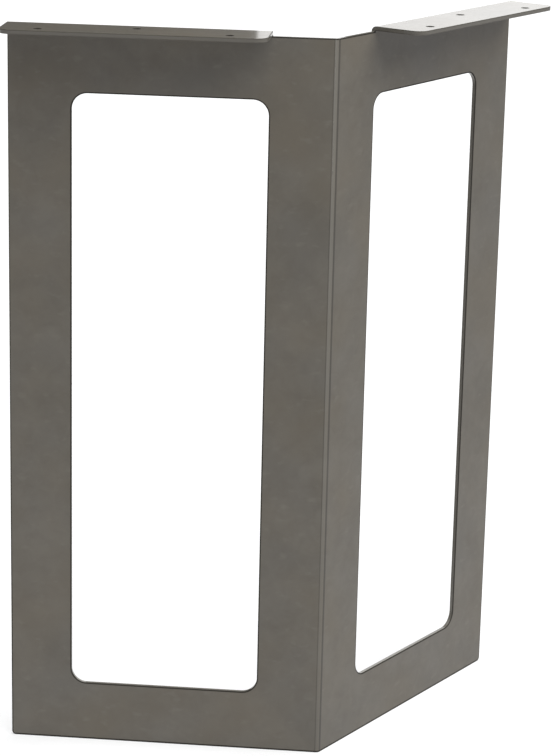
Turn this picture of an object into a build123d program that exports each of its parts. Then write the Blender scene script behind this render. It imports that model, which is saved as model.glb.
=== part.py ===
from build123d import *

import os
from math import cos, radians, sin, tan

# A boomerang table leg: one steel sheet, cut to shape and folded three times.
# One upright fold down the middle makes two wings that stand at an open angle, like a boomerang
# seen from above. Each wing has a large window, and its top edge is folded outwards, away from
# the hollow of the V, into a flange that is screwed to the underside of the table top.
# All sizes are in millimetres and degrees. +Z is up, the leg is the same on both sides of x = 0,
# and the upright fold points towards -Y.

# Sheet and folds
LEG_HEIGHT = 711.0  # floor to the top face of the flanges
SHEET_THICKNESS = 4.0
BEND_INSIDE_RADIUS = 1.0
WINGS_ANGLE = 120.0  # between the two wings, in the hollow of the V

# Wings, with the sharp corner where the two outer faces would meet as their start
WING_WIDTH = 306.0
FOOT_CORNER_RADIUS = 4.0

# Windows, each set by the bars of steel left round it
BAR_BESIDE_FOLD = 60.0  # seen from inside the V, where the inner faces would meet
BAR_AT_WING_END = 60.0
BAR_AT_FOOT = 60.0
BAR_UNDER_FLANGE = 60.0
WINDOW_CORNER_RADIUS = 15.0

# Flanges
FLANGE_START = 60.0  # along the wing, from the sharp outer corner
FLANGE_DEPTH = 55.5  # from the wing's inner face to the flange's front edge
FLANGE_CORNER_RADIUS = 12.0

# Screw holes, two near the front edge of each flange and one between them near the fold
SCREW_HOLE_DIAMETER = 7.0
SCREW_END_DISTANCE = 35.5  # from the ends of the flange to the two front holes
SCREW_FRONT_DISTANCE = 13.5  # from the flange's front edge to the two front holes
MIDDLE_SCREW_FRONT_DISTANCE = 34.5  # from the flange's front edge to the middle hole

# Sizes that follow from the ones above
half_angle = radians(WINGS_ANGLE / 2)
bend_outside_radius = BEND_INSIDE_RADIUS + SHEET_THICKNESS
wall_height = LEG_HEIGHT - bend_outside_radius
flange_underside = LEG_HEIGHT - SHEET_THICKNESS
flange_length = WING_WIDTH - FLANGE_START
flange_reach = FLANGE_DEPTH - SHEET_THICKNESS
inner_corner = SHEET_THICKNESS / tan(half_angle)

# The right wing's own directions and planes; the left wing is its mirror image
up = Vector(0, 0, 1)
along_wing = Vector(sin(half_angle), cos(half_angle), 0)
out_of_wing = Vector(cos(half_angle), -sin(half_angle), 0)
outer_face = Plane(origin=(0, 0, 0), x_dir=along_wing, z_dir=out_of_wing)
mid_wing = outer_face.offset(-SHEET_THICKNESS / 2)
wing_end = Plane(origin=along_wing * WING_WIDTH, x_dir=out_of_wing, z_dir=-along_wing)
mid_flange = Plane(origin=up * (LEG_HEIGHT - SHEET_THICKNESS / 2), x_dir=along_wing, z_dir=-up)


def plan_line(depth, corner_radius):
    """The V of the two wings seen from above, at a depth below their outer faces."""
    right_end = along_wing * WING_WIDTH - out_of_wing * depth
    left_end = Vector(-right_end.X, right_end.Y)
    corner = (0, depth / sin(half_angle))
    return FilletPolyline(left_end, corner, right_end, radius=corner_radius)


def folded_wall():
    """Both wings and the fold between them, up to where the flanges start to bend."""
    outer = plan_line(0, bend_outside_radius)
    inner = plan_line(SHEET_THICKNESS, BEND_INSIDE_RADIUS)
    ends = [Line(outer @ 0, inner @ 0), Line(outer @ 1, inner @ 1)]
    wall = extrude(make_face([outer, inner, *ends]), wall_height)
    foot = wall.faces().sort_by(Axis.Z)[0].edges().sort_by(Axis.X)
    return fillet([foot[0], foot[-1]], FOOT_CORNER_RADIUS)


def right_window():
    """The piece cut out of the right wing, a little thicker than the sheet."""
    near = BAR_BESIDE_FOLD + inner_corner
    far = WING_WIDTH - BAR_AT_WING_END
    top = flange_underside - BAR_UNDER_FLANGE
    middle = Pos((near + far) / 2, (BAR_AT_FOOT + top) / 2)
    opening = RectangleRounded(far - near, top - BAR_AT_FOOT, WINDOW_CORNER_RADIUS)
    return extrude(mid_wing * middle * opening, SHEET_THICKNESS, both=True)


def right_flange():
    """The right wing's flange with its fold, rounded front corners and screw holes."""
    fold = TangentArc((0, wall_height), (BEND_INSIDE_RADIUS, flange_underside), tangent=(0, 1))
    underside = Line(fold @ 1, (flange_reach, flange_underside))
    section = make_face(offset(Wire([fold, underside]), SHEET_THICKNESS, side=Side.LEFT))
    flange = extrude(wing_end * section, flange_length)
    front_corners = flange.edges().filter_by(Axis.Z)
    return fillet(front_corners, FLANGE_CORNER_RADIUS) - screw_holes()


def screw_holes():
    """The three screws' paths through the right flange."""
    front_row = flange_reach - SCREW_FRONT_DISTANCE
    centres = [
        (FLANGE_START + SCREW_END_DISTANCE, front_row),
        ((FLANGE_START + WING_WIDTH) / 2, flange_reach - MIDDLE_SCREW_FRONT_DISTANCE),
        (WING_WIDTH - SCREW_END_DISTANCE, front_row),
    ]
    circles = [mid_flange * Pos(x, y) * Circle(SCREW_HOLE_DIAMETER / 2) for x, y in centres]
    return [extrude(circle, SHEET_THICKNESS, both=True) for circle in circles]


def boomerang_leg():
    """The whole leg, with its origin on the floor under the middle of its outline."""
    window = right_window()
    flange = right_flange()
    wall = folded_wall() - window - mirror(window, Plane.YZ)
    leg = wall + flange + mirror(flange, Plane.YZ)
    return Pos(0, -leg.bounding_box().center().Y, 0) * leg


os.makedirs("parts", exist_ok=True)
export_step(boomerang_leg(), "parts/boomerang_leg.step")
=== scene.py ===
# %% [markdown]
# # A boomerang table leg, folded from one sheet
# The real leg is one steel sheet. A laser cuts it out flat, the sharp edges are taken off, and a
# press folds it three times. This lesson makes it in the same order in Blender, around a packed
# construction model that gives its exact size and place. The first step loads that model and
# keeps its box, so that the finished leg can be compared with it at the end.

import math
from collections import namedtuple

import bmesh
import bpy
from mathutils import Matrix, Vector
from mathutils.bvhtree import BVHTree


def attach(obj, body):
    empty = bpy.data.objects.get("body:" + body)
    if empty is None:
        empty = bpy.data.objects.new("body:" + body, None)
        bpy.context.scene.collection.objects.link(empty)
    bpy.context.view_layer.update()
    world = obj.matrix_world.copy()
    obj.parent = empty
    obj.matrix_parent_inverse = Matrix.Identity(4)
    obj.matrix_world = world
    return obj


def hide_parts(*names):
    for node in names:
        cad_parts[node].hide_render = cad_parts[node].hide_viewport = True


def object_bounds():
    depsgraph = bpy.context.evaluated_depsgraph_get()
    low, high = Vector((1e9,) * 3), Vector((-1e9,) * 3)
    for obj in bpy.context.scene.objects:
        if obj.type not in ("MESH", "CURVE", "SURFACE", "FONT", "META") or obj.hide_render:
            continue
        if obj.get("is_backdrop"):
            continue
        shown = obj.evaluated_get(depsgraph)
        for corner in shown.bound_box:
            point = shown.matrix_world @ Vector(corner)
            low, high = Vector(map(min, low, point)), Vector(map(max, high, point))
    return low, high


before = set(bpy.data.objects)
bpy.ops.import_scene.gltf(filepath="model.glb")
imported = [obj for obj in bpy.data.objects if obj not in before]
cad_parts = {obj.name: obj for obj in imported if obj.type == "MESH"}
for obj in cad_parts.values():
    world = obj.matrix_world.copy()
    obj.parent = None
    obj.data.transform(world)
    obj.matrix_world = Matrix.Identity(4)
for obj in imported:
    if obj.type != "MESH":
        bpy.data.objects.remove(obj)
cad_low, cad_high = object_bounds()
MM = 0.001
cad_size = (cad_high - cad_low) / MM
print(f"Packed leg: {cad_size.x:.1f} x {cad_size.y:.1f} x {cad_size.z:.1f} mm")

# %% [markdown]
# ## The camera
# A product picture has to be matched before anything is judged by it. The straight edges of the
# leg give the place, the direction and the lens of the camera that took it. The camera could be
# aimed at the leg with a constraint, but a picture that was cut out of a larger one also seems to
# lean a little. So three turns are put together instead: round the upright, down from the
# horizon, and round the line of sight. A shifted lens would fit such a picture more closely at its
# left end, but it would push the leg out of the other views.

# %% Place the camera
CAMERA_PLACE = Vector((-1.0167, -2.1548, 1.0500))
CAMERA_HEADING = math.radians(24.785)
CAMERA_DOWN = math.radians(16.054)
CAMERA_LEAN = math.radians(1.307)
CAMERA_LENS = 121.46

heading = Matrix.Rotation(-CAMERA_HEADING, 4, "Z")
looking_down = Matrix.Rotation(math.pi / 2 - CAMERA_DOWN, 4, "X")
leaning = Matrix.Rotation(CAMERA_LEAN, 4, "Z")

camera = bpy.data.objects.new("camera", bpy.data.cameras.new("camera"))
camera.data.lens = CAMERA_LENS
camera.matrix_world = Matrix.Translation(CAMERA_PLACE) @ heading @ looking_down @ leaning
bpy.context.scene.collection.objects.link(camera)
bpy.context.scene.camera = camera
print(f"Camera {CAMERA_PLACE.length:.2f} m from the leg's foot, with a {CAMERA_LENS:.0f} mm lens")

# %% [markdown]
# ## The flat sheet
# A fold uses up less sheet than its corner would, so the flat drawing is not just the flat faces
# laid side by side. A sheet-metal shop measures a fold along the line inside the sheet that
# neither stretches nor shrinks. The sheet is drawn in millimetres: across it, up it, and how deep
# below its outer face. Zero across is the middle of the upright fold, and zero up is the foot.

# %% Work out the folds
SHEET = 4.0
INSIDE_RADIUS = 1.0
OUTSIDE_RADIUS = INSIDE_RADIUS + SHEET
NEUTRAL_LINE = 0.4
UPRIGHT_TURN = math.radians(60)
FLANGE_TURN = math.radians(90)


def sheet_in_fold(turn):
    """Length of flat sheet that a fold takes up."""
    return turn * (INSIDE_RADIUS + NEUTRAL_LINE * SHEET)


half_fold = sheet_in_fold(UPRIGHT_TURN) / 2
flange_fold = sheet_in_fold(FLANGE_TURN)
fold_reach = OUTSIDE_RADIUS * math.tan(UPRIGHT_TURN / 2)
print(f"The upright fold takes {2 * half_fold:.2f} mm of sheet, each flange fold {flange_fold:.2f} mm")

# %% Work out the flat size
LEG_HEIGHT = 711.0
WING_WIDTH = 306.0
FLANGE_REACH = 51.5
wall_height = LEG_HEIGHT - OUTSIDE_RADIUS
flange_line = wall_height + flange_fold


def across(along_wing):
    """Place across the flat sheet of a point so far along a folded wing from its sharp corner."""
    return half_fold + along_wing - fold_reach


def up_flange(out_from_wing):
    """Place up the flat sheet of a point so far out on a folded flange."""
    return flange_line + out_from_wing - INSIDE_RADIUS


flat_width = 2 * across(WING_WIDTH)
flat_height = up_flange(FLANGE_REACH)
print(f"Flat sheet: {flat_width:.1f} x {flat_height:.1f} mm, {SHEET:.0f} mm thick")

# %% [markdown]
# ## The cut lines
# The laser follows one line round the outside of the sheet, one round each window and one round
# each screw hole. Curves would do, but plain lists of points are easier to sweep an edge along
# later. Every line runs with the steel on its left, so the holes run the other way round. Only
# the right half is drawn, and the left half is its mirror image.

# %% Draw the outside of the sheet
FOOT_CORNER = 4.0
FLANGE_CORNER = 12.0
FLANGE_START = 60.0
CORNER_STEPS = 10
# Directions on the flat sheet, in degrees from the way across it
RIGHTWARD = 0
UPWARD = 90
LEFTWARD = 180
DOWNWARD = -90


def arc(centre, radius, start, end, steps):
    """Points along an arc, with its angles in degrees from the way across the sheet."""
    points = []
    for step in range(steps + 1):
        angle = math.radians(start + (end - start) * step / steps)
        points.append(Vector(centre) + radius * Vector((math.cos(angle), math.sin(angle))))
    return points


def mirrored(points):
    """The same line on the left half, turned round so that the steel stays on its left."""
    return [Vector((-point.x, point.y)) for point in reversed(points)]


def right_outside():
    """The right half of the outside line, from the foot up, round the flange and to the fold."""
    end = across(WING_WIDTH)
    start = across(FLANGE_START)
    front = flat_height - FLANGE_CORNER
    foot_centre = (end - FOOT_CORNER, FOOT_CORNER)
    outer_centre = (end - FLANGE_CORNER, front)
    inner_centre = (start + FLANGE_CORNER, front)
    foot_corner = arc(foot_centre, FOOT_CORNER, DOWNWARD, RIGHTWARD, CORNER_STEPS)
    outer_corner = arc(outer_centre, FLANGE_CORNER, RIGHTWARD, UPWARD, CORNER_STEPS)
    inner_corner = arc(inner_centre, FLANGE_CORNER, UPWARD, LEFTWARD, CORNER_STEPS)
    return foot_corner + outer_corner + inner_corner + [Vector((start, wall_height))]


outside = right_outside() + mirrored(right_outside())
print(f"Outside line: {len(outside)} points")

# %% Draw the windows
BAR = 60.0
WINDOW_CORNER = 15.0
WINDOW_STEPS = 14
FULL_TURN = 360
inner_sharp_corner = SHEET / math.tan((math.pi - UPRIGHT_TURN) / 2)


def right_window():
    """The window in the right wing, with a bar of the same width left on all its sides."""
    near = across(BAR + inner_sharp_corner) + WINDOW_CORNER
    far = across(WING_WIDTH - BAR) - WINDOW_CORNER
    low = BAR + WINDOW_CORNER
    high = LEG_HEIGHT - SHEET - BAR - WINDOW_CORNER
    corners = [
        (near, high, LEFTWARD, UPWARD),
        (far, high, UPWARD, RIGHTWARD),
        (far, low, RIGHTWARD, DOWNWARD),
        (near, low, DOWNWARD, LEFTWARD - FULL_TURN),
    ]
    points = []
    for x, y, start, end in corners:
        points += arc((x, y), WINDOW_CORNER, start, end, WINDOW_STEPS)
    return points


windows = [right_window(), mirrored(right_window())]
print(f"Windows: {len(windows)}, with {len(windows[0])} points each")

# %% Draw the screw holes
SCREW_HOLE = 7.0
HOLE_STEPS = 32
# Each screw's distance along the wing, and out from it
SCREWS = [(95.5, 38.0), (183.0, 17.0), (270.5, 38.0)]


def right_screw_holes():
    """The three holes in the right flange."""
    holes = []
    for along_wing, out_from_wing in SCREWS:
        centre = (across(along_wing), up_flange(out_from_wing))
        holes.append(arc(centre, SCREW_HOLE / 2, FULL_TURN, 0, HOLE_STEPS)[:-1])
    return holes


screw_holes = right_screw_holes() + [mirrored(hole) for hole in right_screw_holes()]
print(f"Screw holes: {len(screw_holes)}, {SCREW_HOLE:.0f} mm across")

# %% [markdown]
# ## The deburred edge
# Where the laser comes out of the sheet it leaves a dark burnt line along the edge, with a plain
# cut face beside it. A brush machine then rounds the edges by about half a millimetre. A bevel
# modifier could round them, but it gets confused where many edges meet. Here a small edge profile
# is swept along every cut line instead, from the outer face round to the inner face. Its first
# and last rows lie flat on the faces, so that the faces keep clean shading. Two numbers kept at
# each point say how far it belongs to the burnt line and to the cut face.

# %% Make the edge profile
EDGE_ROUND = 0.5
EDGE_STEPS = 4
BURNT_BAND = 0.6
BURNT_FADE = 0.4
CUT_FADE = 0.2
BURNT_INSIDE = 0.8
EdgeRow = namedtuple("EdgeRow", "inset depth burnt cut")


def edge_profile(cut_burnt):
    """Rows of an edge from the outer face to the inner face, with the cut face so far burnt."""
    turns = [math.pi / 2 * step / EDGE_STEPS for step in range(EDGE_STEPS + 1)]
    rounding = [(EDGE_ROUND * (1 - math.sin(a)), EDGE_ROUND * (1 - math.cos(a))) for a in turns]
    band = EDGE_ROUND + BURNT_BAND
    inside = max(BURNT_INSIDE, cut_burnt)
    rows = [EdgeRow(band + BURNT_FADE, depth=0.0, burnt=0.0, cut=0.0)]
    rows.append(EdgeRow(band, depth=0.0, burnt=1.0, cut=0.0))
    for inset, depth in rounding:
        rows.append(EdgeRow(inset, depth, burnt=1.0, cut=0.0))
    rows.append(EdgeRow(0.0, EDGE_ROUND + CUT_FADE, burnt=cut_burnt, cut=1.0))
    rows.append(EdgeRow(0.0, SHEET - EDGE_ROUND - CUT_FADE, burnt=cut_burnt, cut=1.0))
    for inset, depth in reversed(rounding):
        rows.append(EdgeRow(inset, SHEET - depth, burnt=inside, cut=0.0))
    rows.append(EdgeRow(EDGE_ROUND + BURNT_FADE, depth=SHEET, burnt=0.0, cut=0.0))
    return rows


sheet_edge = edge_profile(cut_burnt=0.0)
hole_edge = edge_profile(cut_burnt=1.0)
print(f"Edge profile: {len(sheet_edge)} rows, rounded by {EDGE_ROUND} mm")

# %% [markdown]
# The dark line isn't the same everywhere. Small holes burn all the way through. At the foot the dark
# band is drawn wider as painted shade where the leg meets the floor, and the line under the flanges
# looks cleaner, as if it had been brushed. Each could have an edge profile of its own, but it is less
# work to change a row's width or burn while it is swept.

# %% Sweep the edge along the cut lines
FLANGE_UNDERSIDE_BURNT = 0.3
# Extra width of the dark band along the foot: painted shade where the leg meets the floor.
FOOT_CONTACT_SHADE = 0.5
# A point nearer than this to a line or a face counts as lying on it
NEAR = 0.0001
blank = bmesh.new()
burnt_and_foot_shade_layer = blank.verts.layers.float.new("burnt_edge_and_foot_shade")
cut_layer = blank.verts.layers.float.new("cut_face")


def way_into_steel(before, here, after):
    """Direction from a cut line into the steel, lengthened at a corner to keep the edge's width."""
    arrives = (here - before).normalized()
    leaves = (after - here).normalized()
    left_before = Vector((-arrives.y, arrives.x))
    left_after = Vector((-leaves.y, leaves.x))
    return (left_before + left_after) / (1 + left_before.dot(left_after))


def row_inset(edge_row, up):
    """How far in from the cut line a row lies, with the dark band drawn wider along the foot as painted
    shade.
    """
    if up < NEAR and edge_row.depth < NEAR and edge_row.inset > EDGE_ROUND:
        return edge_row.inset + FOOT_CONTACT_SHADE
    return edge_row.inset


def burnt_share(edge_row, up):
    """How far a point of an edge is burnt, with the underside of the flanges brushed cleaner."""
    if up > wall_height and edge_row.depth < SHEET / 2:
        return edge_row.burnt * FLANGE_UNDERSIDE_BURNT
    return edge_row.burnt


def sweep_edge(points, profile):
    """Adds the rounded edge along one cut line, and returns its rows of points."""
    count = len(points)
    ways = [way_into_steel(points[i - 1], points[i], points[(i + 1) % count]) for i in range(count)]
    rows = []
    for edge_row in profile:
        row = []
        for point, way in zip(points, ways):
            place = point + way * row_inset(edge_row, point.y)
            vertex = blank.verts.new((place.x, place.y, edge_row.depth))
            vertex[burnt_and_foot_shade_layer] = burnt_share(edge_row, place.y)
            vertex[cut_layer] = edge_row.cut
            row.append(vertex)
        rows.append(row)
    for row, next_row in zip(rows, rows[1:]):
        for i in range(count):
            blank.faces.new((row[i - 1], row[i], next_row[i], next_row[i - 1]))
    return rows


swept = [sweep_edge(points, sheet_edge) for points in [outside] + windows]
swept += [sweep_edge(points, hole_edge) for points in screw_holes]
print(f"Edges swept along {len(swept)} cut lines: {len(blank.faces)} faces")

# %% Fill the two faces of the sheet
def fill_face(rows):
    """Fills the flat face inside the outermost row and outside the rows of the holes."""
    rim = []
    for row in rows:
        rim += [blank.edges.get((row[i - 1], row[i])) for i in range(len(row))]
    bmesh.ops.triangle_fill(blank, use_beauty=True, edges=rim)


fill_face([rows[0] for rows in swept])
fill_face([rows[-1] for rows in swept])
open_edges = sum(not edge.is_manifold for edge in blank.edges)
print(f"Flat sheet closed: {len(blank.faces)} faces, {open_edges} open edges")

# %% [markdown]
# ## Lines to fold along
# A flat face can only bend where it has lines to bend at. Knife cuts straight through the sheet
# give each fold a row of narrow strips. One more cut on each side of a flange's fold keeps the
# curve out of the shading of the large flat faces.

# %% Cut the strips
UPRIGHT_STRIPS = 12
FLANGE_STRIPS = 12
SUPPORT = 0.6
ACROSS = Vector((1, 0, 0))
UP = Vector((0, 1, 0))


def knife(place, direction):
    """Cuts the whole sheet along one straight line."""
    everything = blank.verts[:] + blank.edges[:] + blank.faces[:]
    bmesh.ops.bisect_plane(
        blank, geom=everything, dist=NEAR, plane_co=direction * place, plane_no=direction
    )


for strip in range(UPRIGHT_STRIPS + 1):
    knife(half_fold * (2 * strip / UPRIGHT_STRIPS - 1), ACROSS)
for strip in range(FLANGE_STRIPS + 1):
    knife(wall_height + flange_fold * strip / FLANGE_STRIPS, UP)
knife(wall_height - SUPPORT, UP)
knife(flange_line + SUPPORT, UP)
print(f"Sheet cut into strips: {len(blank.faces)} faces")

# %% [markdown]
# ## Marks of the press, and a painted highlight
# The press leaves a thin pressed line on each side of the upright fold, on this leg a faint one on the
# left and a wider one on the right. Their dark colour is painted shade. The ridge between them gets a
# painted highlight, strongest on its left side and towards the top. A dark stripe in the material alone
# would look painted on, so the lines are also pressed into the sheet as shallow grooves with flat
# bottoms.

# %% Press the lines beside the fold
PressLine = namedtuple("PressLine", "side off_fold half_width strength")
PRESS_LINES = [
    PressLine(side=-1, off_fold=0.5, half_width=0.6, strength=0.3),
    PressLine(side=1, off_fold=-0.1, half_width=1.4, strength=0.6),
]
PRESS_DEPTH = 0.15
FLAT_BOTTOM = 0.5
HIGHLIGHT_AT_FOOT = 0.15
HIGHLIGHT_AT_TOP = 1.0

for line in PRESS_LINES:
    for step in (-1, -FLAT_BOTTOM, FLAT_BOTTOM, 1):
        knife(line.side * (half_fold + line.off_fold + step * line.half_width), ACROSS)

press_shade_layer = blank.verts.layers.float.new("press_line_painted_shade")
fold_highlight_layer = blank.verts.layers.float.new("painted_fold_highlight")


def fold_highlight_share(flat):
    """How strong the painted highlight is at a point of the ridge, from its place on the flat sheet."""
    from_right = (half_fold - flat.x) / (2 * half_fold)
    towards_top = flat.y / LEG_HEIGHT
    return from_right * (HIGHLIGHT_AT_FOOT + (HIGHLIGHT_AT_TOP - HIGHLIGHT_AT_FOOT) * towards_top)


outer_face = [vertex for vertex in blank.verts if vertex.co.z < NEAR]
for vertex in outer_face:
    # Painted highlight: the ridge is coloured brighter, most on its left side and towards the top.
    if abs(vertex.co.x) < half_fold - NEAR:
        vertex[fold_highlight_layer] = fold_highlight_share(vertex.co)
    for line in PRESS_LINES:
        off_line = abs(line.side * vertex.co.x - half_fold - line.off_fold)
        if off_line < FLAT_BOTTOM * line.half_width + NEAR:
            vertex.co.z = PRESS_DEPTH * line.strength
            # The groove is pressed into the mesh; the dark colour kept here is painted shade.
            vertex[press_shade_layer] = line.strength
print(f"Press lines: {len(PRESS_LINES)}, now {len(blank.faces)} faces")

# %% [markdown]
# ## Folding
# Blender has a bend deformer, but it bends the whole object. A folded sheet is straight, then
# round, then straight again, so each point is carried there by its own sum. First the flange is
# worked out as seen from the end of a wing: how far out and how high a point goes. Then the wings
# are folded as seen from above. The flat place of each point is kept as well, because the look
# of the steel was there before it was folded. The depth is drawn out in it, so that the two faces
# don't get the same clouds.

# %% Say where each point goes
wing_turn = UPRIGHT_TURN / 2
along_right_wing = Vector((math.cos(wing_turn), math.sin(wing_turn)))
out_of_right_wing = Vector((math.sin(wing_turn), -math.cos(wing_turn)))
fold_centre = Vector((0, OUTSIDE_RADIUS / math.cos(wing_turn)))


def fold_flange(up, depth):
    """(distance out from the wing's outer face, height) of a point of the sheet."""
    if up <= wall_height:
        return -depth, up
    if up >= flange_line:
        return up - flange_line + INSIDE_RADIUS, wall_height + INSIDE_RADIUS + depth
    angle = FLANGE_TURN * (up - wall_height) / flange_fold
    radius = INSIDE_RADIUS + depth
    return INSIDE_RADIUS - radius * math.cos(angle), wall_height + radius * math.sin(angle)


def fold_wings(place, out):
    """Where a point of the sheet comes to, seen from above."""
    if abs(place) <= half_fold:
        angle = wing_turn * place / half_fold
        return fold_centre + (OUTSIDE_RADIUS + out) * Vector((math.sin(angle), -math.cos(angle)))
    folded = along_right_wing * (fold_reach + abs(place) - half_fold) + out_of_right_wing * out
    return Vector((math.copysign(folded.x, place), folded.y))


inner_wing_end = WING_WIDTH * along_right_wing.y - SHEET * out_of_right_wing.y
fold_corner_y = cad_high.y / MM - inner_wing_end
print(f"The sharp corner of the fold stands {-fold_corner_y:.2f} mm in front of the origin")

# %% Fold the sheet
FACES_APART = 20
flat_layer = blank.verts.layers.float_vector.new("flat_sheet")
for vertex in blank.verts:
    flat = vertex.co.copy()
    vertex[flat_layer] = Vector((flat.x, flat.y, flat.z * FACES_APART)) * MM
    out, height = fold_flange(flat.y, flat.z)
    seen_from_above = fold_wings(flat.x, out)
    vertex.co = Vector((seen_from_above.x, seen_from_above.y + fold_corner_y, height)) * MM
bmesh.ops.recalc_face_normals(blank, faces=blank.faces[:])
for face in blank.faces:
    face.smooth = True

leg_mesh = bpy.data.meshes.new("folded_leg")
blank.to_mesh(leg_mesh)
blank.free()
leg = bpy.data.objects.new("folded_leg", leg_mesh)
bpy.context.scene.collection.objects.link(leg)
print(f"Leg folded: {len(leg_mesh.vertices)} points, {len(leg_mesh.polygons)} faces")

# %% [markdown]
# ## Comparing it with the construction
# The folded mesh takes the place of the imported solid, so it has to lie on it. Eyes miss a fold
# that is half a millimetre out. A tree of the solid's faces answers, for every point of the mesh,
# how far away the solid's surface is. Only the rounded edges and the pressed lines may differ.

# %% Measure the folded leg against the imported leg
CAD_NODE = "boomerang_leg"
depsgraph = bpy.context.evaluated_depsgraph_get()
cad_surface = BVHTree.FromObject(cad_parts[CAD_NODE], depsgraph)


def off_packed_leg(point):
    """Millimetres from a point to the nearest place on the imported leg."""
    *_, distance = cad_surface.find_nearest(point)
    return distance / MM


distances = [off_packed_leg(vertex.co) for vertex in leg_mesh.vertices]
average = sum(distances) / len(distances)
print(f"Distance to the packed leg: {average:.3f} mm on average, {max(distances):.3f} mm at most")

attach(leg, "root")
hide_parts(CAD_NODE)

# %% [markdown]
# ## Bare steel
# The leg has no paint. It looks like cold-rolled sheet as the mill sends it: warm dark grey, with a
# soft shine under a thin film of oil. Such a skin is partly metal and partly dull oxide, so the shader
# is set between the two, and a clear coat stands for the oil. The numbers that were kept at the points
# say where the edges, the cut faces, the painted shade of the press lines and the painted highlight on
# the fold are.

# %% Start the steel and read the points
METALLIC = 0.35
GRAZING_TINT = 0.25
OIL_ROUGHNESS = 0.06
OPAQUE = 1.0

steel = bpy.data.materials.new("bare_steel")
steel.use_nodes = True
leg_mesh.materials.append(steel)
steel_tree = steel.node_tree
shader = steel_tree.nodes["Principled BSDF"]
shader.inputs["Metallic"].default_value = METALLIC
shader.inputs["Specular Tint"].default_value = (GRAZING_TINT, GRAZING_TINT, GRAZING_TINT, OPAQUE)
shader.inputs["Coat Roughness"].default_value = OIL_ROUGHNESS


def kept_at_points(tree, name):
    """A node that reads what was kept at the points of the mesh."""
    node = tree.nodes.new("ShaderNodeAttribute")
    node.attribute_name = name
    return node


sheet_place = kept_at_points(steel_tree, "flat_sheet").outputs["Vector"]
# This mask covers the burnt edges and the painted shade along the foot.
burnt = kept_at_points(steel_tree, "burnt_edge_and_foot_shade").outputs["Fac"]
cut = kept_at_points(steel_tree, "cut_face").outputs["Fac"]
press_line_shade = kept_at_points(steel_tree, "press_line_painted_shade").outputs["Fac"]
fold_highlight = kept_at_points(steel_tree, "painted_fold_highlight").outputs["Fac"]
print(f"Steel started: {METALLIC:.0%} metal")

# %% [markdown]
# ## Clouds and smudges
# Thin oxide and oil make cloudy patches, some warmer and some cooler, and wiping leaves small
# paler marks. A picture of steel could be laid on the leg, but noise that is made in the shader
# has no edges and no seams. It is read in the flat sheet's own measure, so the patches run round
# the folds as they do on a real sheet.

# %% Make the noises
CLOUDS = {"Scale": 16.0, "Detail": 4.0, "Roughness": 0.55}
SMUDGES = {"Scale": 70.0, "Detail": 5.0, "Roughness": 0.6, "Distortion": 0.7}
TINTS = {"Scale": 11.0, "Detail": 2.0, "Roughness": 0.5}
WIPES = {"Scale": 120.0, "Detail": 3.0, "Roughness": 0.5}
WIPE_STRETCH = (0.5, 1.0, 1.0)


def add_node(tree, kind, sockets):
    """A new node with values for some of its inputs."""
    node = tree.nodes.new(kind)
    for name, value in sockets.items():
        node.inputs[name].default_value = value
    return node


def noise(tree, place, sockets):
    """A noise texture read at a place on the sheet; returns its value."""
    node = add_node(tree, "ShaderNodeTexNoise", sockets)
    tree.links.new(place, node.inputs["Vector"])
    return node.outputs["Fac"]


def stretched(tree, place, scale):
    """The same places, drawn out or squeezed along the sheet."""
    node = add_node(tree, "ShaderNodeMapping", {"Scale": scale})
    tree.links.new(place, node.inputs["Vector"])
    return node.outputs["Vector"]


clouds = noise(steel_tree, sheet_place, CLOUDS)
smudges = noise(steel_tree, sheet_place, SMUDGES)
tints = noise(steel_tree, sheet_place, TINTS)
wipes = noise(steel_tree, stretched(steel_tree, sheet_place, WIPE_STRETCH), WIPES)
print("Noises: clouds, smudges, tints and wipes")

# %% Mix the steel's tones
STEEL_DARK = (0.150, 0.138, 0.118)
STEEL_LIGHT = (0.186, 0.173, 0.151)
STEEL_WARM = (0.180, 0.158, 0.124)
STEEL_COOL = (0.162, 0.154, 0.140)
STEEL_WIPED = (0.210, 0.196, 0.172)
CLOUD_SHARE = 0.65
SMUDGE_SHARE = 0.35
WHOLE = (0.0, 1.0)
CLOUD_RANGE = (0.36, 0.64)
WARM_RANGE = (0.45, 0.70)
COOL_RANGE = (0.45, 0.30)
TINT_STRENGTH = (0.0, 0.6)
WIPE_RANGE = (0.60, 0.75)
WIPE_STRENGTH = (0.0, 0.5)


def maths(tree, operation, first, second):
    """Two values, or a value and a number, put together."""
    node = tree.nodes.new("ShaderNodeMath")
    node.operation = operation
    for socket, value in zip(node.inputs, (first, second)):
        if isinstance(value, bpy.types.NodeSocket):
            tree.links.new(value, socket)
        else:
            socket.default_value = value
    return node.outputs["Value"]


def remap(tree, value, source, target):
    """A value carried from one range to another, and held at its ends."""
    ends = {"From Min": source[0], "From Max": source[1], "To Min": target[0], "To Max": target[1]}
    node = add_node(tree, "ShaderNodeMapRange", ends)
    tree.links.new(value, node.inputs["Value"])
    return node.outputs["Result"]


def blend_colours(tree, factor, first, second):
    """Two colours, each fixed or from a node, mixed by a value."""
    node = tree.nodes.new("ShaderNodeMix")
    node.data_type = "RGBA"
    tree.links.new(factor, node.inputs["Factor"])
    sockets = [socket for socket in node.inputs if socket.type == "RGBA"]
    for socket, colour in zip(sockets, (first, second)):
        if isinstance(colour, bpy.types.NodeSocket):
            tree.links.new(colour, socket)
        else:
            socket.default_value = (*colour, OPAQUE)
    return next(output for output in node.outputs if output.type == "RGBA")


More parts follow.
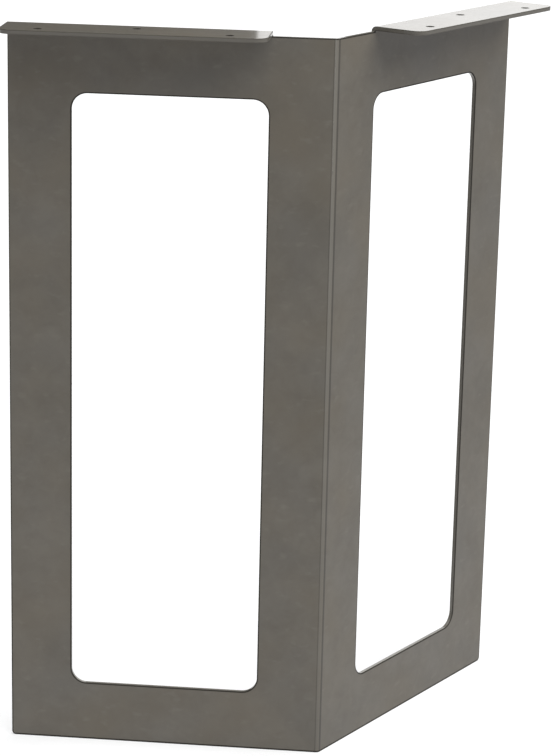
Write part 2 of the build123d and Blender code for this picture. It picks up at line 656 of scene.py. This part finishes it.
cloud_part = maths(steel_tree, "MULTIPLY", clouds, CLOUD_SHARE)
smudge_part = maths(steel_tree, "MULTIPLY", smudges, SMUDGE_SHARE)
cloudy = maths(steel_tree, "ADD", cloud_part, smudge_part)
tone = blend_colours(steel_tree, remap(steel_tree, cloudy, CLOUD_RANGE, WHOLE), STEEL_DARK, STEEL_LIGHT)
tone = blend_colours(steel_tree, remap(steel_tree, tints, WARM_RANGE, TINT_STRENGTH), tone, STEEL_WARM)
tone = blend_colours(steel_tree, remap(steel_tree, tints, COOL_RANGE, TINT_STRENGTH), tone, STEEL_COOL)
tone = blend_colours(steel_tree, remap(steel_tree, wipes, WIPE_RANGE, WIPE_STRENGTH), tone, STEEL_WIPED)
print("Tones: five greys, mixed by the noises")

# %% [markdown]
# ## Worked places
# The fold's ridge gets a painted highlight and is smoother than the rest. The pressed lines get painted
# shade, the burnt edges are darker and dry, and along the foot the dark band is widened as painted
# shade. The cut faces are plain grey steel. Each could have its own material, but one material that
# blends by the kept numbers has no hard borders.

# %% Colour and polish the worked places
# Painted highlight colour for the fold's ridge.
FOLD_PAINTED_HIGHLIGHT = (0.280, 0.268, 0.244)
# Painted shade colour for the press lines.
PRESS_LINE_PAINTED_SHADE = (0.045, 0.041, 0.036)
CUT_FACE = (0.165, 0.156, 0.140)
# Dark colour of the burnt edges, also used for the painted shade along the foot.
BURNT_EDGE_AND_FOOT_SHADE = (0.045, 0.042, 0.037)
DULL_TO_SHINY = (0.46, 0.36)
HIGHLIGHT_SMOOTHER = 0.15
BURNT_ROUGHER = 0.2
OILY_TO_DRY = (0.8, 0.0)

# Painted highlight on the ridge, painted shade on the press lines, then the cut faces and the burnt
# edges.
tone = blend_colours(steel_tree, fold_highlight, tone, FOLD_PAINTED_HIGHLIGHT)
tone = blend_colours(steel_tree, press_line_shade, tone, PRESS_LINE_PAINTED_SHADE)
tone = blend_colours(steel_tree, cut, tone, CUT_FACE)
tone = blend_colours(steel_tree, burnt, tone, BURNT_EDGE_AND_FOOT_SHADE)
steel_tree.links.new(tone, shader.inputs["Base Color"])

smoother = maths(steel_tree, "MULTIPLY", fold_highlight, HIGHLIGHT_SMOOTHER)
rougher = maths(steel_tree, "MULTIPLY", burnt, BURNT_ROUGHER)
roughness = remap(steel_tree, cloudy, CLOUD_RANGE, DULL_TO_SHINY)
roughness = maths(steel_tree, "SUBTRACT", roughness, smoother)
roughness = maths(steel_tree, "ADD", roughness, rougher)
steel_tree.links.new(roughness, shader.inputs["Roughness"])

oil_film = remap(steel_tree, burnt, WHOLE, OILY_TO_DRY)
steel_tree.links.new(oil_film, shader.inputs["Coat Weight"])
print(f"Worked places coloured: the steel has {len(steel_tree.nodes)} nodes")

# %% [markdown]
# ## Rolled grain
# Rolling leaves fine lines along the sheet and lets it stay a little wavy. They could be made in the
# mesh, but neither shows in the leg's outline and both only bend the light, so a bump is enough.

# %% Add the grain and the waves
GRAIN = {"Scale": 900.0, "Detail": 2.0, "Roughness": 0.5}
GRAIN_STRETCH = (1.0, 0.04, 1.0)
GRAIN_BUMP = {"Strength": 0.25, "Distance": 0.00006}
WAVES = {"Scale": 9.0, "Detail": 1.0, "Roughness": 0.4}
WAVE_BUMP = {"Strength": 0.5, "Distance": 0.0015}

grain_bump = add_node(steel_tree, "ShaderNodeBump", GRAIN_BUMP)
grain = noise(steel_tree, stretched(steel_tree, sheet_place, GRAIN_STRETCH), GRAIN)
steel_tree.links.new(grain, grain_bump.inputs["Height"])

wave_bump = add_node(steel_tree, "ShaderNodeBump", WAVE_BUMP)
steel_tree.links.new(noise(steel_tree, sheet_place, WAVES), wave_bump.inputs["Height"])
steel_tree.links.new(grain_bump.outputs["Normal"], wave_bump.inputs["Normal"])
steel_tree.links.new(wave_bump.outputs["Normal"], shader.inputs["Normal"])
print("Grain and waves added")

# %% [markdown]
# ## The floor
# The leg stands on a white studio floor that runs on out of the picture. White paper would need
# so much light that the steel would burn out, so the floor also glows a little for the camera and
# for reflections. The part of its brightness that comes from the lamp keeps the leg's shadow.

# %% Lay the floor
FLOOR_SIZE = 40.0

bpy.ops.mesh.primitive_plane_add(size=FLOOR_SIZE)
floor = bpy.context.object
floor.name = "floor"
floor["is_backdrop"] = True
print(f"Floor: {FLOOR_SIZE:.0f} m square")

# %% Make the floor white
PAPER = (0.5, 0.5, 0.5, 1.0)
PAPER_SEEN = (0.44, 0.45, 0.48, 1.0)
FLOOR_GLOW = 0.5


def seen_directly(tree):
    """1 for the camera's rays and for those mirrored or let through, 0 for scattered light."""
    rays = tree.nodes.new("ShaderNodeLightPath").outputs
    seen = maths(tree, "MAXIMUM", rays["Is Camera Ray"], rays["Is Glossy Ray"])
    return maths(tree, "MAXIMUM", seen, rays["Is Transmission Ray"])


paper = bpy.data.materials.new("white_floor")
paper.use_nodes = True
floor.data.materials.append(paper)
floor_tree = paper.node_tree
floor_tree.nodes.remove(floor_tree.nodes["Principled BSDF"])

lit_paper = add_node(floor_tree, "ShaderNodeBsdfDiffuse", {"Color": PAPER})
seen_paper = add_node(floor_tree, "ShaderNodeBsdfDiffuse", {"Color": PAPER_SEEN})
glow = add_node(floor_tree, "ShaderNodeEmission", {"Strength": FLOOR_GLOW})
glowing_paper = floor_tree.nodes.new("ShaderNodeAddShader")
paper_side, glow_side = glowing_paper.inputs
floor_tree.links.new(seen_paper.outputs["BSDF"], paper_side)
floor_tree.links.new(glow.outputs["Emission"], glow_side)

either_paper = floor_tree.nodes.new("ShaderNodeMixShader")
how_seen, when_scattered, when_seen = either_paper.inputs
floor_tree.links.new(seen_directly(floor_tree), how_seen)
floor_tree.links.new(lit_paper.outputs["BSDF"], when_scattered)
floor_tree.links.new(glowing_paper.outputs["Shader"], when_seen)
floor_out = floor_tree.nodes["Material Output"]
floor_tree.links.new(either_paper.outputs["Shader"], floor_out.inputs["Surface"])
print(f"Floor glows at {FLOOR_GLOW} where it is seen")

# %% [markdown]
# ## The light
# A white room gives soft light from all round, seen at full white and kept low as light. One
# large warm lamp high in front and to the right makes the right wing lighter than the left one,
# and leaves a soft shadow under the flanges. An area lamp would light the floor unevenly, so a
# sun with a very wide disc is used.

# %% Light the room
PLAIN_WHITE = (1.0, 1.0, 1.0, 1.0)
ROOM_LIGHT = 0.25
ROOM_SEEN = 1.0

room = bpy.data.worlds.new("white_room")
bpy.context.scene.world = room
room.use_nodes = True
room_tree = room.node_tree
room_light = room_tree.nodes["Background"]
room_light.inputs["Color"].default_value = PLAIN_WHITE
room_strength = remap(room_tree, seen_directly(room_tree), WHOLE, (ROOM_LIGHT, ROOM_SEEN))
room_tree.links.new(room_strength, room_light.inputs["Strength"])
print(f"Room light at {ROOM_LIGHT}")

# %% Hang the soft lamp
LAMP_STRENGTH = 4.5
LAMP_COLOUR = (1.0, 0.978, 0.912)
LAMP_SPREAD = math.radians(80)
LAMP_TILT = math.radians(26)
LAMP_TURN = math.radians(43)

soft_lamp = bpy.data.objects.new("soft_lamp", bpy.data.lights.new("soft_lamp", "SUN"))
soft_lamp.data.energy = LAMP_STRENGTH
soft_lamp.data.color = LAMP_COLOUR
soft_lamp.data.angle = LAMP_SPREAD
soft_lamp.rotation_euler = (LAMP_TILT, 0, LAMP_TURN)
bpy.context.scene.collection.objects.link(soft_lamp)
print(f"Soft lamp at {LAMP_STRENGTH}, {math.degrees(LAMP_TILT):.0f} degrees from upright")

# %% [markdown]
# ## Cards for the metal
# Metal shows what stands round it, so studios set up cards and cloths for it to mirror. A bright
# card behind the leg on the right whitens the right flange and the inner end of the left one, and
# a dark card beside it keeps the rest of the left flange grey. Two grey cloths on the floor, the
# near one lighter, and a dark screen in front give the wings their tone, a little lighter towards
# the foot. Real cards would also throw light and shadow about. These are seen by mirrored rays
# only, so each one does one thing.

# %% Make a card
CARD_STEPS = 24


def ring_place(azimuth, distance, height):
    """A place so many degrees from straight behind the leg to the right, so far off and so high."""
    turn = math.radians(azimuth)
    return Vector((math.sin(turn) * distance, math.cos(turn) * distance, height))


def ring_row(start, end, distance, height):
    """A row of places round the leg from one azimuth to another."""
    turns = [start + (end - start) * step / CARD_STEPS for step in range(CARD_STEPS + 1)]
    return [ring_place(turn, distance, height) for turn in turns]


def glow_card(name, row, next_row, brightness, colour):
    """A card between two rows of places that only mirrored rays see, as bright as it is written."""
    mesh = bpy.data.meshes.new(name)
    count = len(row)
    strips = [(i, i + 1, count + i + 1, count + i) for i in range(count - 1)]
    mesh.from_pydata(row + next_row, [], strips)
    finish = bpy.data.materials.new(name)
    finish.use_nodes = True
    mesh.materials.append(finish)
    card_tree = finish.node_tree
    card_tree.nodes.remove(card_tree.nodes["Principled BSDF"])
    lit = add_node(card_tree, "ShaderNodeEmission", {"Color": colour, "Strength": brightness})
    card_out = card_tree.nodes["Material Output"]
    card_tree.links.new(lit.outputs["Emission"], card_out.inputs["Surface"])
    card = bpy.data.objects.new(name, mesh)
    card.visible_camera = False
    card.visible_diffuse = False
    card.visible_shadow = False
    bpy.context.scene.collection.objects.link(card)
    card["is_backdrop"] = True
    print(f"{name}: brightness {brightness}")


# %% Stand the cards behind the leg
ON_FLOOR = 0.0
CARD_DISTANCE = 12.0
CARD_HEIGHT = 24.0
CARD_EDGE = 24.0
BRIGHT_WIDTH = 28.0
DARK_WIDTH = 28.0
BRIGHT_CARD = 1.52
DARK_CARD = 0.04


def standing_card(name, start, end, distance, height, brightness):
    """A card that stands on the floor round the leg."""
    foot = ring_row(start, end, distance, ON_FLOOR)
    top = ring_row(start, end, distance, height)
    glow_card(name, foot, top, brightness, PLAIN_WHITE)


bright_end = CARD_EDGE + BRIGHT_WIDTH
dark_start = CARD_EDGE - DARK_WIDTH
standing_card("bright_card", CARD_EDGE, bright_end, CARD_DISTANCE, CARD_HEIGHT, BRIGHT_CARD)
standing_card("dark_card", dark_start, CARD_EDGE, CARD_DISTANCE, CARD_HEIGHT, DARK_CARD)

# %% Lay the cloths and stand the screen in front
FRONT_START = 56
FRONT_END = 305
COOL_WHITE = (0.98, 0.995, 1.05, 1.0)
CLOTH_LIFT = 0.0002
UNDER_LEG = 0.0
NEAR_EDGE = 1.0
FAR_EDGE = 9.0
NEAR_CLOTH = 0.56
FAR_CLOTH = 0.45
SCREEN_DISTANCE = 8.0
SCREEN_HEIGHT = 8.0
FRONT_SCREEN = 0.3


def lying_cloth(name, near, far, brightness):
    """A cloth that lies on the floor in front of the leg, between two distances."""
    inner = ring_row(FRONT_START, FRONT_END, near, CLOTH_LIFT)
    outer = ring_row(FRONT_START, FRONT_END, far, CLOTH_LIFT)
    glow_card(name, inner, outer, brightness, COOL_WHITE)


lying_cloth("near_cloth", UNDER_LEG, NEAR_EDGE, NEAR_CLOTH)
lying_cloth("far_cloth", NEAR_EDGE, FAR_EDGE, FAR_CLOTH)
standing_card("front_screen", FRONT_START, FRONT_END, SCREEN_DISTANCE, SCREEN_HEIGHT, FRONT_SCREEN)

# %% [markdown]
# ## Finishing
# The picture uses Blender's plain colours, without a film look, so a colour comes out about as it was
# written. The box of the finished leg is measured against the box of the imported one.

# %% Write the sizes and finish
bpy.context.scene.view_settings.view_transform = "Standard"

low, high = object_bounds()
growth = max((high - cad_high).length, (low - cad_low).length) / MM
print(f"The finished leg's box differs from the packed one's by {growth:.2f} mm at most")
